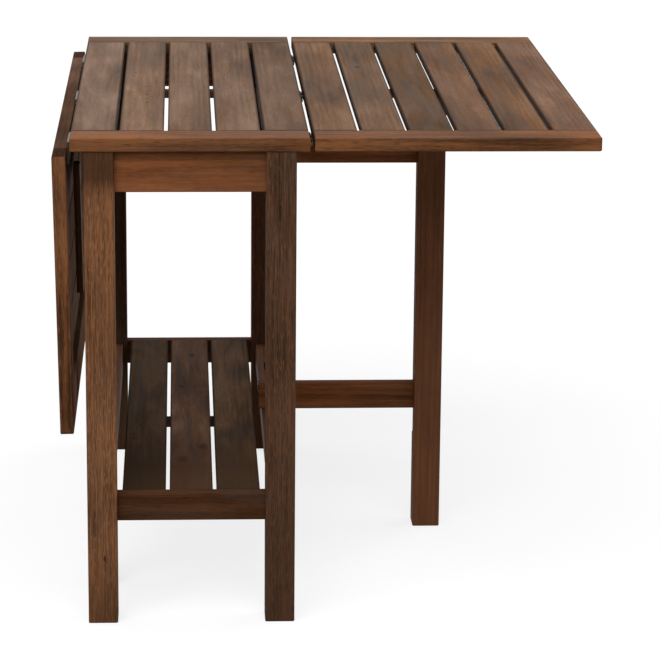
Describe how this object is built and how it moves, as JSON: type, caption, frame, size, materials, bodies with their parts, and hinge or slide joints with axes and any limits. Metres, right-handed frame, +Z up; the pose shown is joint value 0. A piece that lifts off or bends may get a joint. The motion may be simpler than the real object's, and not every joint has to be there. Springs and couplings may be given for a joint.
{
  "type": "folding gateleg table",
  "caption": "Narrow slatted gateleg table with hinged drop leaves, swinging support gates and a low slatted shelf between its legs.",
  "frame": {"origin": "on the floor, under the middle of the table's outline as it stands with its right leaf up", "axes": "+X across the table towards the raised leaf, +Y along the table away from the front, +Z up"},
  "size_m": [0.7974, 0.94, 0.74],
  "materials": {
    "top_hardwood": "brown stained hardwood, oiled, open grain",
    "frame_hardwood": "brown stained hardwood, oiled, open grain",
    "shelf_hardwood": "brown stained hardwood, oiled, open grain",
    "plated_steel": "yellow zinc plated, dulled and darkened"
  },
  "bodies": {
    "frame": {"apron_front": "frame_hardwood", "apron_rear": "frame_hardwood", "frame_screws": "plated_steel", "left_gate_pivot_pins": "plated_steel", "left_hinge_fixed_plates": "plated_steel", "left_hinge_pins": "plated_steel", "leg_front_left": "frame_hardwood", "leg_front_right": "frame_hardwood", "leg_rear_left": "frame_hardwood", "leg_rear_right": "frame_hardwood", "lower_side_rail_left": "frame_hardwood", "lower_side_rail_right": "frame_hardwood", "right_gate_pivot_pins": "plated_steel", "right_hinge_fixed_plates": "plated_steel", "right_hinge_pins": "plated_steel", "shelf_batten": "shelf_hardwood", "shelf_rail_front": "shelf_hardwood", "shelf_rail_rear": "shelf_hardwood", "shelf_slat_1": "shelf_hardwood", "shelf_slat_2": "shelf_hardwood", "shelf_slat_3": "shelf_hardwood", "side_apron_left": "frame_hardwood", "side_apron_right": "frame_hardwood", "top_batten": "top_hardwood", "top_rail_front": "top_hardwood", "top_rail_rear": "top_hardwood", "top_slat_1": "top_hardwood", "top_slat_2": "top_hardwood", "top_slat_3": "top_hardwood", "top_slat_4": "top_hardwood", "top_slat_5": "top_hardwood"},
    "left_gate": {"left_gate_leg": "frame_hardwood", "left_gate_lower_rail": "frame_hardwood", "left_gate_upper_rail": "frame_hardwood"},
    "left_leaf": {"left_leaf_batten": "top_hardwood", "left_leaf_hinge_plates": "plated_steel", "left_leaf_rail_front": "top_hardwood", "left_leaf_rail_rear": "top_hardwood", "left_leaf_screws": "plated_steel", "left_leaf_slat_1": "top_hardwood", "left_leaf_slat_2": "top_hardwood", "left_leaf_slat_3": "top_hardwood", "left_leaf_slat_4": "top_hardwood", "left_leaf_slat_5": "top_hardwood", "left_leaf_slat_6": "top_hardwood"},
    "right_gate": {"right_gate_leg": "frame_hardwood", "right_gate_lower_rail": "frame_hardwood", "right_gate_upper_rail": "frame_hardwood"},
    "right_leaf": {"right_leaf_batten": "top_hardwood", "right_leaf_hinge_plates": "plated_steel", "right_leaf_rail_front": "top_hardwood", "right_leaf_rail_rear": "top_hardwood", "right_leaf_screws": "plated_steel", "right_leaf_slat_1": "top_hardwood", "right_leaf_slat_2": "top_hardwood", "right_leaf_slat_3": "top_hardwood", "right_leaf_slat_4": "top_hardwood", "right_leaf_slat_5": "top_hardwood", "right_leaf_slat_6": "top_hardwood"}
  },
  "joints": [
    {"name": "right_gate_swing", "type": "hinge", "parent": "frame", "child": "right_gate", "pos_m": [-0.07005, 0.011, 0], "axis": [0, 0, 1], "range_deg": [0, 90]},
    {"name": "left_gate_swing", "type": "hinge", "parent": "frame", "child": "left_gate", "pos_m": [-0.3278, -0.011, 0], "axis": [0, 0, -1], "range_deg": [0, 2]},
    {"name": "left_leaf_fold", "type": "hinge", "parent": "frame", "child": "left_leaf", "pos_m": [-0.3758, 0, 0.717], "axis": [0, 1, 0], "range_deg": [0, 91]},
    {"name": "right_leaf_lift", "type": "hinge", "parent": "frame", "child": "right_leaf", "pos_m": [-0.02205, 0, 0.717], "axis": [0, -1, 0], "range_deg": [0, 15]}
  ]
}
